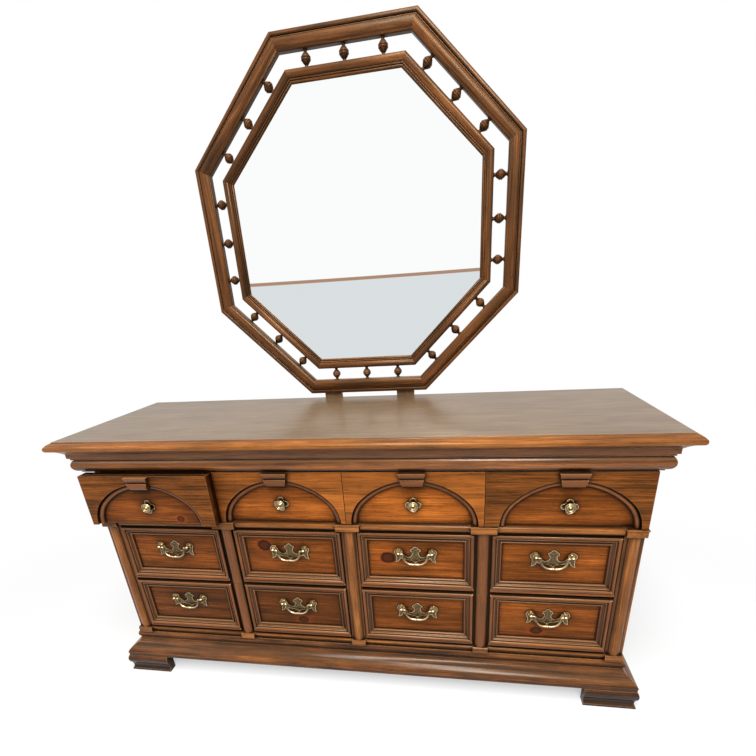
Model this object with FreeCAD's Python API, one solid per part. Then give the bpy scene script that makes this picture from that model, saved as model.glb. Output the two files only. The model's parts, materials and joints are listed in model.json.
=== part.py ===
"""Pine dresser with an octagonal gallery mirror. Millimetres, +X to the right, +Y to the wall, +Z up.

The pieces are drawn with y = 0 on the front of the face frame, and leave moved so that the origin is on
the floor, halfway across the width and halfway through the depth over the top and the mirror supports.
"""
import FreeCAD, Part
import math
import os

Vec = FreeCAD.Vector
X_AXIS, Y_AXIS, Z_AXIS = Vec(1, 0, 0), Vec(0, 1, 0), Vec(0, 0, 1)

# ---- clearances ----------------------------------------------------------------------------------
FRONT_GAP = 1.5        # seam round every drawer front
STOP_GAP = 0.6         # drawer front to the frame that it closes against
RUN_GAP = 0.3          # drawer box above its runners
SIDE_GAP = 1.2         # drawer box beside its guides and partitions
BOLT_GAP = 0.2         # round a bolt in its hole
PIN_GAP = 0.08         # round a bail's pin in its post

# ---- case ----------------------------------------------------------------------------------------
CASE_W = 1580.0        # over the sides
CASE_D = 462.0         # face frame to the back of the back panel
SIDE_T = 19.0
FRAME_T = 20.0         # face frame
BACK_T = 6.0
BOTTOM_T = 19.0
STILE_W = 49.0         # end stiles
CENTRE_STILE_W = 45.0
CENTRE_PARTITION_T = 22.0
PARTITION_T = 19.0     # between the small drawers

# heights, from the floor upwards
FOOT_H = 64.0
PLINTH_H = 80.0
SILL_H = 20.5
LOW_FRONT_H = 197.0
MID_FRONT_H = 196.5
LEDGE_H = 24.0
TOP_FRONT_H = 159.0
CORNICE_H = 77.5
TOP_T = 26.0

# ---- top slab ------------------------------------------------------------------------------------
TOP_OVERHANG = 65.0
NOSE_DEPTH = 18.0      # thumbnail edge, from its quirk to the tip
NOSE_QUIRK = 1.8       # step down from the flat
NOSE_TIP_H = 8.0       # lower edge of the tip above the underside
NOSE_FLAT = 4.0        # upright face of the tip
NOSE_RETURN = 7.0      # undercut below the tip

# ---- mouldings on the case: how far each stands out, and its heights ------------------------------
PLINTH_OUT = 44.5
CORNICE_OUT = 56.0
LEDGE_OUT = 12.0
LEDGE_DROP = 4.0       # underside of the ledge moulding above its rail's underside
CAPITAL_W = 70.0
CAPITAL_OUT = 16.0
CAPITAL_LIP = 2.0      # thin lip round a capital's top
CAPITAL_LIP_H = 4.0
CAPITAL_RISE = 1.5     # underside of a capital above its rail's underside
CAPITAL_RETURN = 42.0  # end capital's run along the case side
CAPITAL_SIDE_OUT = 2.0
BASE_BLOCK_W = 45.0
BASE_BLOCK_OUT = 12.0
BASE_CHAMFER = 2.5
SILL_OUT = 7.0
PILASTER_W = 31.0
PILASTER_OUT = 9.0
PILASTER_SHOULDER = 2.0

# ---- bracket feet: how far each point of the profile stands out from the case ----------------------
FOOT_W = 147.0
FOOT_D = 150.0
FOOT_NECK = 44.0
FOOT_ROLL = 49.0
FOOT_WAIST = 41.0
FOOT_TOE = 46.0
FOOT_BACK = 17.0       # back of the bracket boards
GLUE_BLOCK = 60.0

# ---- small drawers of the top row ----------------------------------------------------------------
TOP_FRONT_T = FRAME_T - STOP_GAP
SPANDREL_T = 15.0      # arched board glued on the front
ARCH_HALF = 176.0      # half span
ARCH_RISE = 134.0
ARCH_HAUNCH_R = 104.0  # side arcs of the three-centred arch
OUTER_ARCH_OUT = 10.5  # arches of the end drawers beside the middle of their fronts, towards the ends
BEAD_W = 15.0
BEAD_OUT = 9.5
BEAD_EDGE = 2.0        # flat edges of the bead
KEY_TOP_W = 73.0
KEY_BOTTOM_W = 55.0
KEY_H = 39.0
KEY_OUT = 28.0
KEY_DROP = 1.5         # top of the keystone below the top of its front
KNOB_Z = 56.0          # above the bottom of the front
KNOB_R = 14.5
KNOB_LENGTH = 15.5
ROSETTE_LOBE_R = 8.5
ROSETTE_LOBE_AT = 13.5
PLATE_T = 1.8
AJAR = 31.0            # first small drawer stands this far open

# ---- wide drawers --------------------------------------------------------------------------------
PANEL_SET = 6.0        # panel behind the face frame's front
WIDE_FRONT_T = 19.4
MOULD_W = 26.5         # moulding round each panel
MOULD_H = 12.0
MOULD_SIDE = 1.5       # flat edge of the front beside the moulding
MOULD_ABOVE = 6.0
MOULD_BELOW = 13.0
LOWER_BEAD_OUT = 10.0  # half-round strip on the front below each moulding
LOWER_BEAD_EDGE = 4.0
PILASTER_STRIP_W = 46.0

# ---- pulls ---------------------------------------------------------------------------------------
POST_SPACING = 96.0
PLATE_CREST = 18.0     # crest of the back plate above its posts
POST_ABOVE_CENTRE = 27.5
POST_R = 4.0
POST_REACH = 14.0      # centre of the ball in front of the panel
BALL_R = 6.0
BOLT_R = 2.4
NUT_R = 5.0
NUT_T = 3.0
BAIL_R = 2.9
BAIL_PIN_R = 1.75
BAIL_PIN_IN = 3.0      # pin inside the ball, past its centre towards the middle
BAIL_SHOULDER = 8.5    # thick part starts this far inside the post's axis
BAIL_BEND_R = 4.0
BAIL_CORNER_R = 26.0
BAIL_DROP = 34.0
BAIL_BEAD_R = 4.6
BAIL_BEAD_HALF = 3.2
COLLAR_HALF = 1.2
COLLAR_AT = 6.5
COLLAR_R = 3.8

# ---- drawer boxes --------------------------------------------------------------------------------
BOX_T = 12.0
BOX_BOTTOM_T = 5.0
BOX_BOTTOM_UP = 10.0
GROOVE = 6.0
BOX_RISE = 4.0         # box above the bottom edge of its front
BOX_BACK_GAP = 24.0    # box to back panel
TOP_BOX_H = 104.0
WIDE_BOX_H = 160.0
WEB_T = 19.0           # dust frames
WEB_RAIL_W = 60.0
RUNNER_W = 44.0
TOP_RUNNER_W = 29.0
GUIDE_H = 18.0

# ---- mirror --------------------------------------------------------------------------------------
MIRROR_AF = 985.0      # across the flats of the outer frame
MIRROR_GAP = 18.0      # above the top slab
OUTER_RAIL_W = 46.0
GALLERY_W = 38.5
INNER_RAIL_W = 32.5
OUTER_RAIL_T = 24.0
INNER_RAIL_T = 22.0
SPINDLE_R = 13.6
SPINDLE_NECK_R = 4.7
SPINDLE_FOOT_R = 6.3
SPINDLES_A_SIDE = 3
SPINDLE_SPREAD = 0.64  # outer pair's distance apart as a share of the side
GLASS_T = 4.0
GLASS_LAP = 8.0        # glass behind the inner rail's lip
RABBET_LIP = 10.0      # lip in front of the glass
MIRROR_BACK_T = 4.0
SUPPORT_T = 19.0
SUPPORT_W = 60.0
SUPPORT_X = 130.0
SUPPORT_LENGTH = 360.0
SUPPORT_TOP_GAP = 3.0  # below the upper edge of the rail that it hides behind
SCREW_R = 2.2
SCREW_HEAD_R = 4.5
SCREW_HEAD_H = 2.6
SCREW_BITE = 12.0
SCREW_EDGE = 15.0      # screws in from a support's edges

# ---- places worked out from the sizes -------------------------------------------------------------
HALF_W = CASE_W / 2
INSIDE = HALF_W - SIDE_T
INSIDE_BACK = CASE_D - BACK_T
PLINTH_TOP = FOOT_H + PLINTH_H
LOW_Z = PLINTH_TOP + SILL_H + FRONT_GAP
MID_Z = LOW_Z + LOW_FRONT_H + FRONT_GAP
LEDGE_Z = MID_Z + MID_FRONT_H + FRONT_GAP
LEDGE_TOP = LEDGE_Z + LEDGE_H
TOP_ROW_Z = LEDGE_TOP + FRONT_GAP
CORNICE_Z = TOP_ROW_Z + TOP_FRONT_H + FRONT_GAP
SLAB_Z = CORNICE_Z + CORNICE_H
TOP_Z = SLAB_Z + TOP_T
STILE_EDGE = HALF_W - STILE_W
WIDE_X0 = CENTRE_STILE_W / 2 + FRONT_GAP
WIDE_X1 = STILE_EDGE - FRONT_GAP
COLUMN_X = (WIDE_X0 + WIDE_X1) / 2
STRIP_HALF = PILASTER_STRIP_W / 2
WEB_FRONT = PANEL_SET + WIDE_FRONT_T + STOP_GAP
MIRROR_R = MIRROR_AF / 2
MIRROR_Z = TOP_Z + MIRROR_GAP + MIRROR_R
INNER_R = MIRROR_R - OUTER_RAIL_W - GALLERY_W
SIGHT_R = INNER_R - INNER_RAIL_W
ORIGIN_SHIFT = TOP_OVERHANG - (TOP_OVERHANG + CASE_D + SUPPORT_T) / 2


# ---- drawing helpers -----------------------------------------------------------------------------
def face(steps, place):
    """Flat face inside a run of points. A step that holds two points is an arc through the first one."""
    def corner(step):
        return step[1] if isinstance(step[0], tuple) else step

    edges = []
    for before, step in zip(steps[-1:] + steps[:-1], steps):
        start, end = place(*corner(before)), place(*corner(step))
        if isinstance(step[0], tuple):
            edges.append(Part.Arc(start, place(*step[0]), end).toShape())
        else:
            edges.append(Part.LineSegment(start, end).toShape())
    return Part.Face(Part.Wire(edges))


def stretched(steps, wide, high):
    """A profile drawn in hundredths of its width and height, at its real size."""
    def point(x, z):
        return (x * wide / 100, z * high / 100)

    return [
        tuple(point(*each) for each in step) if isinstance(step[0], tuple) else point(*step)
        for step in steps
    ]


def prism(steps, place, run):
    return face(steps, place).extrude(run)


def block(x0, x1, y0, y1, z0, z1):
    return Part.makeBox(x1 - x0, y1 - y0, z1 - z0, Vec(x0, y0, z0))


def rod(radius, start, axis, length):
    return Part.makeCylinder(radius, length, start, axis)


def turned(steps, centre, axis, radial):
    """Solid of revolution: steps are (distance from the axis, distance along it)."""
    profile = face(steps, lambda r, along: centre + radial * r + axis * along)
    return profile.revolve(centre, axis, 360)


def both_sides(shape):
    return [shape, shape.mirror(Vec(0, 0, 0), X_AXIS)]


def across(shapes):
    """Each shape and its mirror image on the other half of the case."""
    return [copy for shape in shapes for copy in both_sides(shape)]


def fused(shapes):
    return shapes[0].multiFuse(shapes[1:]).removeSplitter()


def along_case(profile, z0, reach):
    """Mitred moulding round the front and both sides. The profile is (out from the case, up from z0)."""
    front = prism(profile, lambda out, up: Vec(-HALF_W - reach, -out, z0 + up), Vec(CASE_W + 2 * reach, 0, 0))
    side = prism(profile, lambda out, up: Vec(HALF_W + out, -reach, z0 + up), Vec(0, CASE_D + reach, 0))
    tall = Vec(0, 0, TOP_Z)
    plan = [(-HALF_W - reach, -reach), (HALF_W + reach, -reach), (HALF_W, 0), (-HALF_W, 0)]
    front_part = prism(plan, lambda x, y: Vec(x, y, 0), tall)
    plan = [(HALF_W, 0), (HALF_W + reach, -reach), (HALF_W + reach, CASE_D), (HALF_W, CASE_D)]
    side_part = prism(plan, lambda x, y: Vec(x, y, 0), tall)
    return [front.common(front_part)] + both_sides(side.common(side_part))


# ---- case ----------------------------------------------------------------------------------------
def slab_edge(far):
    """Outline of the slab's section from its middle out to the thumbnail edge at `far`."""
    quirk, tip, tip_top = far - NOSE_DEPTH, SLAB_Z + NOSE_TIP_H, SLAB_Z + NOSE_TIP_H + NOSE_FLAT
    crown = (quirk + NOSE_DEPTH * 0.59, tip_top + (TOP_Z - NOSE_QUIRK - tip_top) * 0.59)
    half = math.sqrt(0.5)
    under = (far - NOSE_RETURN * (1 - half), SLAB_Z + NOSE_TIP_H * (1 - half))
    return [
        (quirk, TOP_Z), (quirk, TOP_Z - NOSE_QUIRK), (crown, (far, tip_top)), (far, tip),
        (under, (far - NOSE_RETURN, SLAB_Z)),
    ]


def top_slab():
    half, front = HALF_W + TOP_OVERHANG, CASE_D + TOP_OVERHANG
    edge = slab_edge(half)
    mirrored = [(0, SLAB_Z), (0, TOP_Z)]
    right = prism(mirrored + edge, lambda x, z: Vec(x, -TOP_OVERHANG, z), Vec(0, front, 0))
    width = fused(both_sides(right))
    depth = prism(mirrored + slab_edge(front), lambda d, z: Vec(-half, CASE_D - d, z), Vec(2 * half, 0, 0))
    return [width.common(depth)]


def cornice():
    """From below: fillet, torus, small step, upright band, and a shallow cove out to the slab's edge."""
    profile = [
        (0, 0), (20, 0), (20, 4), ((50, 26), (38.5, 50)), (34, 50), (34, 53.5), (44, 53.5), (44, 58.5),
        (54.5, 62), (54.5, 79), ((73, 90), (100, 100)), (0, 100),
    ]
    return along_case(stretched(profile, CORNICE_OUT, CORNICE_H), CORNICE_Z, TOP_OVERHANG)


def plinth():
    """From below: band, flat ogee, and a bead that finishes its top."""
    profile = [
        (0, 0), (97, 0), (97, 12), (100, 13.5), (100, 16.5), ((82.5, 31), (56, 41.5)), ((32, 52), (17, 66)),
        (13.5, 66.5), (13.5, 69.5), ((24, 84), (13.5, 100)), (0, 100),
    ]
    return along_case(stretched(profile, PLINTH_OUT, PLINTH_H), FOOT_H, PLINTH_OUT)


def case_sides():
    return both_sides(block(INSIDE, HALF_W, FRAME_T, INSIDE_BACK, FOOT_H, SLAB_Z))


def back_panel():
    panel = block(-HALF_W, HALF_W, INSIDE_BACK, CASE_D, FOOT_H, SLAB_Z)
    return [panel.cut(support_screws())]


def case_bottom():
    return [block(-INSIDE, INSIDE, FRAME_T, INSIDE_BACK, PLINTH_TOP - BOTTOM_T, PLINTH_TOP)]


def face_frame():
    stiles = both_sides(block(STILE_EDGE, HALF_W, 0, FRAME_T, FOOT_H, LEDGE_Z))
    half = CENTRE_STILE_W / 2
    centre = block(-half, half, 0, FRAME_T, PLINTH_TOP, LEDGE_Z)
    bottom = block(-STILE_EDGE, STILE_EDGE, 0, FRAME_T, FOOT_H, PLINTH_TOP)
    ledge = block(-HALF_W, HALF_W, 0, FRAME_T, LEDGE_Z, LEDGE_TOP)
    top = block(-HALF_W, HALF_W, 0, FRAME_T, CORNICE_Z, SLAB_Z)
    profile = [
        (FRAME_T, 0), (FRAME_T, SILL_H), (-1, SILL_H), ((-SILL_OUT, SILL_H * 0.75), (-1, SILL_H / 2)),
        (-1, 0),
    ]
    sills = []
    for x0, x1 in ((half, COLUMN_X - BASE_BLOCK_W / 2), (COLUMN_X + BASE_BLOCK_W / 2, STILE_EDGE)):
        sills.append(prism(profile, lambda y, up: Vec(x0, y, PLINTH_TOP + up), Vec(x1 - x0, 0, 0)))
    return stiles + [centre, bottom, ledge, top] + across(sills)


def partitions():
    """Middle board from the case bottom to the top, and one between each pair of small drawers."""
    half = CENTRE_PARTITION_T / 2
    middle = block(-half, half, FRAME_T, INSIDE_BACK, PLINTH_TOP, SLAB_Z)
    small = block(
        COLUMN_X - PARTITION_T / 2, COLUMN_X + PARTITION_T / 2, FRAME_T, INSIDE_BACK,
        TOP_ROW_Z + BOX_RISE - RUN_GAP, SLAB_Z,
    )
    return [middle] + both_sides(small)


def web_frames():
    """Dust frames and runners under every row of drawers, with the guides that steer the wide boxes."""
    inner = CENTRE_PARTITION_T / 2
    rear = INSIDE_BACK - WEB_RAIL_W
    pieces = []
    for row_z, front in ((MID_Z, WEB_FRONT), (TOP_ROW_Z, FRAME_T)):
        top = row_z + BOX_RISE - RUN_GAP
        pieces.append(block(inner, INSIDE, front, front + WEB_RAIL_W, top - WEB_T, top))
        pieces.append(block(inner, INSIDE, rear, INSIDE_BACK, top - WEB_T, top))
    small_top = TOP_ROW_Z + BOX_RISE - RUN_GAP
    for x0, x1 in (
        (inner, inner + TOP_RUNNER_W), (COLUMN_X - TOP_RUNNER_W, COLUMN_X + TOP_RUNNER_W),
        (INSIDE - TOP_RUNNER_W, INSIDE),
    ):
        pieces.append(block(x0, x1, FRAME_T + WEB_RAIL_W, rear, small_top - WEB_T, small_top))
    for row_z, y0, y1, bottom in (
        (LOW_Z, WEB_FRONT, INSIDE_BACK, PLINTH_TOP),
        (MID_Z, WEB_FRONT + WEB_RAIL_W, rear, MID_Z + BOX_RISE - RUN_GAP - WEB_T),
    ):
        top = row_z + BOX_RISE - RUN_GAP
        pieces.append(block(inner, inner + RUNNER_W, y0, y1, bottom, top))
        pieces.append(block(INSIDE - RUNNER_W, INSIDE, y0, y1, bottom, top))
        pieces.append(block(inner, WIDE_X0, y0, y1, top, top + GUIDE_H))
        pieces.append(block(WIDE_X1, INSIDE, y0, y1, top, top + GUIDE_H))
    return across(pieces)


# ---- trim on the front of the case ---------------------------------------------------------------
def half_round(width, out, shoulder, face_y):
    """Plan outline of a pilaster that stands on a face."""
    half = width / 2
    edge = face_y - shoulder
    return [(-half, face_y), (half, face_y), (half, edge), ((0, -out), (-half, edge))]


def capital(x0, x1, back):
    z0 = LEDGE_Z + CAPITAL_RISE
    body = block(x0, x1, -CAPITAL_OUT, back, z0, LEDGE_TOP)
    lip = block(
        x0 - CAPITAL_LIP, x1 + CAPITAL_LIP, -CAPITAL_OUT - CAPITAL_LIP, back,
        LEDGE_TOP - CAPITAL_LIP_H, LEDGE_TOP,
    )
    return body.fuse(lip).removeSplitter()


def end_capital():
    whole = capital(STILE_EDGE, HALF_W + CAPITAL_SIDE_OUT, CAPITAL_RETURN)
    case_corner = block(STILE_EDGE - CAPITAL_W, HALF_W, 0, CAPITAL_RETURN, 0, TOP_Z)
    return whole.cut(case_corner)


def base_block(x0, x1, back):
    chamfered = [
        (back, 0), (back, SILL_H), (-BASE_BLOCK_OUT + BASE_CHAMFER, SILL_H),
        (-BASE_BLOCK_OUT, SILL_H - BASE_CHAMFER), (-BASE_BLOCK_OUT, 0),
    ]
    return prism(chamfered, lambda y, up: Vec(x0, y, PLINTH_TOP + up), Vec(x1 - x0, 0, 0))


def pilaster_blocks():
    """Capitals over the pilasters and blocks under them."""
    half, base = CAPITAL_W / 2, BASE_BLOCK_W / 2
    capitals = [capital(-half, half, 0)] + both_sides(capital(COLUMN_X - half, COLUMN_X + half, 0))
    bases = [base_block(-base, base, 0)] + both_sides(base_block(COLUMN_X - base, COLUMN_X + base, FRAME_T))
    return capitals + both_sides(end_capital()) + bases + both_sides(base_block(STILE_EDGE, HALF_W, 0))


def case_pilasters():
    z0, z1 = PLINTH_TOP + SILL_H, LEDGE_Z + CAPITAL_RISE
    outline = half_round(PILASTER_W, PILASTER_OUT, PILASTER_SHOULDER, 0)
    ends = HALF_W - STILE_W / 2
    return [prism(outline, lambda x, y: Vec(at + x, y, z0), Vec(0, 0, z1 - z0)) for at in (-ends, 0, ends)]


def ledge_moulding():
    z0, half = LEDGE_Z + LEDGE_DROP, CAPITAL_W / 2
    middle = (z0 + LEDGE_TOP) / 2
    profile = [(0, LEDGE_TOP), (-3, LEDGE_TOP), ((-LEDGE_OUT, middle), (-3, z0)), (0, z0)]
    lengths = []
    for x0, x1 in ((half, COLUMN_X - half), (COLUMN_X + half, STILE_EDGE)):
        lengths.append(
            prism(profile, lambda y, z: Vec(x0 + CAPITAL_LIP, y, z), Vec(x1 - x0 - 2 * CAPITAL_LIP, 0, 0))
        )
    return across(lengths)


# ---- feet ----------------------------------------------------------------------------------------
def feet():
    """Moulded bracket boards, mitred at the front corners, with a glue block inside each foot."""
    toe_top, waist, roll_bottom, roll = (FOOT_H * share for share in (0.09, 0.3, 0.52, 0.75))
    shoulder = (FOOT_WAIST + FOOT_ROLL) / 2
    profile = [
        (FOOT_BACK, 0), (FOOT_TOE, 0), (FOOT_TOE, toe_top),
        (((FOOT_TOE + 2 * FOOT_WAIST) / 3, (2 * toe_top + waist) / 3), (FOOT_WAIST, waist)),
        (((3 * FOOT_WAIST + shoulder) / 4, (waist + roll_bottom) / 2), (shoulder, roll_bottom)),
        ((FOOT_ROLL, roll), (FOOT_NECK, FOOT_H)), (FOOT_BACK, FOOT_H),
    ]
    front, right, _ = along_case(profile, 0, FOOT_ROLL)
    reach = HALF_W + FOOT_ROLL
    front_end, inner = HALF_W + PLINTH_OUT - FOOT_W, HALF_W + FOOT_BACK - GLUE_BLOCK
    boards = [
        front.common(block(front_end, reach, -FOOT_ROLL, 0, 0, FOOT_H)),
        right.common(block(HALF_W, reach, -FOOT_ROLL, FOOT_D - PLINTH_OUT, 0, FOOT_H)),
        right.common(block(HALF_W, reach, CASE_D - FOOT_D, CASE_D, 0, FOOT_H)),
    ]
    blocks = [
        block(inner, HALF_W + FOOT_BACK, y0, y0 + GLUE_BLOCK, 0, FOOT_H)
        for y0 in (-FOOT_BACK, CASE_D - GLUE_BLOCK)
    ]
    return across(boards + blocks)


# ---- drawer boxes --------------------------------------------------------------------------------
def drawer_box(x0, x1, y0, z0, height):
    """Two sides, a back between them, and a bottom panel that is let into grooves."""
    y1 = INSIDE_BACK - BOX_BACK_GAP
    sides = [block(x0, x0 + BOX_T, y0, y1, z0, z0 + height), block(x1 - BOX_T, x1, y0, y1, z0, z0 + height)]
    back = block(x0 + BOX_T, x1 - BOX_T, y1 - BOX_T, y1, z0, z0 + height)
    lap = BOX_T - GROOVE
    floor = z0 + BOX_BOTTOM_UP
    bottom = block(x0 + lap, x1 - lap, y0, y1 - lap, floor, floor + BOX_BOTTOM_T)
    return [piece.cut(bottom) for piece in sides + [back]] + [bottom]


# ---- small drawers -------------------------------------------------------------------------------
def small_drawer_spans():
    gap = FRONT_GAP / 2
    edges = (-HALF_W, -COLUMN_X, 0, COLUMN_X, HALF_W)
    spans = []
    for left, right in zip(edges, edges[1:]):
        spans.append((left + (gap if left > -HALF_W else 0), right - (gap if right < HALF_W else 0)))
    return spans


def arch_arcs(inset):
    """Centre, radius, start and end angle of each arc of the arch, `inset` inside its outer edge."""
    along, up = ARCH_HALF - ARCH_HAUNCH_R, ARCH_RISE - ARCH_HAUNCH_R
    drop = (along ** 2 - up ** 2) / (2 * up)
    turn = math.degrees(math.atan2(drop, along))
    haunch, crown = ARCH_HAUNCH_R - inset, ARCH_RISE + drop - inset
    return [
        ((along, 0), haunch, 0, turn), ((0, -drop), crown, turn, 180 - turn),
        ((-along, 0), haunch, 180 - turn, 180),
    ]


def arch_point(centre, radius, degrees):
    angle = math.radians(degrees)
    return (centre[0] + radius * math.cos(angle), centre[1] + radius * math.sin(angle))


def arch_middle(x0, x1):
    middle = (x0 + x1) / 2
    return middle + math.copysign(OUTER_ARCH_OUT, middle) if abs(middle) > COLUMN_X else middle


def arch_opening(middle, z0):
    steps = []
    for centre, radius, start, end in arch_arcs(0):
        if not steps:
            steps.append(arch_point(centre, radius, start))
        steps.append((arch_point(centre, radius, (start + end) / 2), arch_point(centre, radius, end)))
    return prism(steps, lambda x, z: Vec(middle + x, 0, z0 + z), Vec(0, -SPANDREL_T, 0))


def arch_bead(middle, z0):
    profile = [(-BEAD_W, 0), (-BEAD_W, -BEAD_EDGE), ((-BEAD_W / 2, -BEAD_OUT), (0, -BEAD_EDGE)), (0, 0)]
    parts = []
    for centre, radius, start, end in arch_arcs(0):
        hub = Vec(middle + centre[0], 0, z0 + centre[1])
        section = face(profile, lambda r, y: hub + Vec(radius + r, y, 0))
        section.rotate(hub, Y_AXIS, -start)
        parts.append(section.revolve(hub, Vec(0, -1, 0), end - start))
    return fused(parts)


def keystone(middle, z1):
    """Tapered block with a lip, a hollow and a rounded lower half, seated on the spandrels and the bead."""
    step = KEY_H / 2
    side = [
        (0, 0), (0, KEY_H), (-KEY_OUT, KEY_H), (-KEY_OUT, KEY_H - 4),
        ((-KEY_OUT + 5, step + 6), (-KEY_OUT + 7, step + 1)), (-KEY_OUT + 3, step + 1),
        (-KEY_OUT + 3, step - 2),
        ((-KEY_OUT + 4, 9), (-KEY_OUT + 9, 0)),
    ]
    top, low = KEY_TOP_W / 2, KEY_BOTTOM_W / 2
    z0 = z1 - KEY_H
    body = prism(side, lambda y, up: Vec(middle - top, y, z0 + up), Vec(2 * top, 0, 0))
    taper = [(-low, 0), (low, 0), (top, KEY_H), (-top, KEY_H)]
    wedge = prism(taper, lambda x, up: Vec(middle + x, -2 * KEY_OUT, z0 + up), Vec(0, 4 * KEY_OUT, 0))
    return body.common(wedge)


def small_front(x0, x1):
    """Board that the box hangs on, and the arched board glued on its face."""
    middle = arch_middle(x0, x1)
    board = block(x0, x1, 0, TOP_FRONT_T, TOP_ROW_Z, TOP_ROW_Z + TOP_FRONT_H)
    hole = rod(BOLT_R + BOLT_GAP, Vec(middle, 0, TOP_ROW_Z + KNOB_Z), Y_AXIS, TOP_FRONT_T)
    arched = block(x0, x1, -SPANDREL_T, 0, TOP_ROW_Z, TOP_ROW_Z + TOP_FRONT_H)
    return [board.cut(hole), arched.cut(arch_opening(middle, TOP_ROW_Z))]


def small_trim(x0, x1):
    """Arch bead, and the keystone that is notched over it."""
    middle = arch_middle(x0, x1)
    bead = arch_bead(middle, TOP_ROW_Z)
    key = keystone(middle, TOP_ROW_Z + TOP_FRONT_H - KEY_DROP)
    return [bead, key.cut([bead, small_front(x0, x1)[1]])]


def knob(x0, x1):
    """Four-lobed rosette, knob with a rim, a ring and a button on its bolt, and a nut inside."""
    seat = Vec(arch_middle(x0, x1), 0, TOP_ROW_Z + KNOB_Z)
    forward = Vec(0, -1, 0)
    plate = rod(KNOB_R, seat, forward, PLATE_T)
    for turn in range(4):
        lobe = rod(ROSETTE_LOBE_R, seat + Vec(0, 0, ROSETTE_LOBE_AT), forward, PLATE_T)
        lobe.rotate(seat, Y_AXIS, 90 * turn)
        plate = plate.fuse(lobe)
    plate = plate.removeSplitter().cut(rod(BOLT_R + BOLT_GAP, seat, forward, PLATE_T))
    dome_edge, dome_rise = KNOB_R * 0.36, KNOB_LENGTH * 0.18
    dome_r = (dome_edge ** 2 + dome_rise ** 2) / (2 * dome_rise)
    halfway = math.asin(dome_edge / dome_r) / 2
    dome = (dome_r * math.sin(halfway), KNOB_LENGTH - dome_r * (1 - math.cos(halfway)))
    neck_and_rim = [
        (52, 20), ((47, 27), (35, 32)), ((34, 40), (46, 48)), (62, 53), ((100, 66), (94, 83)),
        ((87, 88), (81, 83)), (77, 74), (68, 74), ((56, 94), (42, 82)), (36, 82),
    ]
    head = turned(
        [(0, PLATE_T), (KNOB_R * 0.52, PLATE_T)] + stretched(neck_and_rim, KNOB_R, KNOB_LENGTH)
        + [(dome, (0, KNOB_LENGTH))],
        seat, forward, X_AXIS,
    )
    bolt = rod(BOLT_R, seat + Vec(0, TOP_FRONT_T + NUT_T, 0), forward, TOP_FRONT_T + NUT_T + PLATE_T)
    nut_at = Vec(seat.x, TOP_FRONT_T, seat.z)
    nut = rod(NUT_R, nut_at, Y_AXIS, NUT_T).cut(rod(BOLT_R, nut_at, Y_AXIS, NUT_T))
    return [plate, fused([head, bolt]), nut]


def small_box(index, x0, x1):
    inner, outer = CENTRE_PARTITION_T / 2 + SIDE_GAP, INSIDE - SIDE_GAP
    beside = PARTITION_T / 2 + SIDE_GAP
    walls = ((-outer, -COLUMN_X - beside), (-COLUMN_X + beside, -inner), (inner, COLUMN_X - beside),
             (COLUMN_X + beside, outer))
    left, right = walls[index]
    return drawer_box(left, right, TOP_FRONT_T, TOP_ROW_Z + BOX_RISE, TOP_BOX_H)


# ---- wide drawers --------------------------------------------------------------------------------
def panel_spans(side):
    """The two panels of a wide front, left to right, on the right (1) or the left (-1) half of the case."""
    spans = [(WIDE_X0, COLUMN_X - STRIP_HALF), (COLUMN_X + STRIP_HALF, WIDE_X1)]
    return spans if side > 0 else [(-x1, -x0) for x0, x1 in reversed(spans)]


def wide_span(side):
    return (WIDE_X0, WIDE_X1) if side > 0 else (-WIDE_X1, -WIDE_X0)


def post_places(side, z0, height):
    z = z0 + height / 2 + POST_ABOVE_CENTRE
    for x0, x1 in panel_spans(side):
        middle = (x0 + x1) / 2
        yield [Vec(middle + hand * POST_SPACING / 2, PANEL_SET, z) for hand in (-1, 1)]


def wide_front(side, z0, height):
    x0, x1 = wide_span(side)
    board = block(x0, x1, PANEL_SET, PANEL_SET + WIDE_FRONT_T, z0, z0 + height)
    holes = [
        rod(BOLT_R + BOLT_GAP, post, Y_AXIS, WIDE_FRONT_T)
        for pair in post_places(side, z0, height) for post in pair
    ]
    return [board.cut(holes)]


MOULDING = [
    (0, 0), (0, MOULD_H - 3), ((1, MOULD_H - 0.9), (3, MOULD_H)), (4, MOULD_H),
    ((7.5, MOULD_H - 0.8), (9.5, MOULD_H - 3.5)), (9.5, MOULD_H - 5.5), (11, MOULD_H - 5.5),
    ((13, MOULD_H - 3.6), (15, MOULD_H - 5.5)), (15, MOULD_H - 7), ((18, 3), (MOULD_W - 5.5, 2.4)),
    (MOULD_W - 5.5, 3.4), ((MOULD_W - 3, 5.4), (MOULD_W - 0.5, 3.4)), (MOULD_W, 2.2), (MOULD_W, 0),
]


def moulding_frame(x0, x1, z0, z1):
    """Four mitred lengths of panel moulding. The profile is (in from the edge, out from the panel)."""
    y, w, deep = PANEL_SET, MOULD_W, Vec(0, -2 * MOULD_H, 0)
    lengths = []
    for near, far, sign in ((z0, z1, 1), (z1, z0, -1)):
        run = Vec(x1 - x0, 0, 0)
        length = prism(MOULDING, lambda inward, out: Vec(x0, y - out, near + sign * inward), run)
        mitre = [(x0, near), (x1, near), (x1 - w, near + sign * w), (x0 + w, near + sign * w)]
        lengths.append(length.common(prism(mitre, lambda x, z: Vec(x, y, z), deep)))
    for near, sign in ((x0, 1), (x1, -1)):
        run = Vec(0, 0, z1 - z0)
        length = prism(MOULDING, lambda inward, out: Vec(near + sign * inward, y - out, z0), run)
        mitre = [(near, z0), (near, z1), (near + sign * w, z1 - w), (near + sign * w, z0 + w)]
        lengths.append(length.common(prism(mitre, lambda x, z: Vec(x, y, z), deep)))
    return lengths


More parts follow.
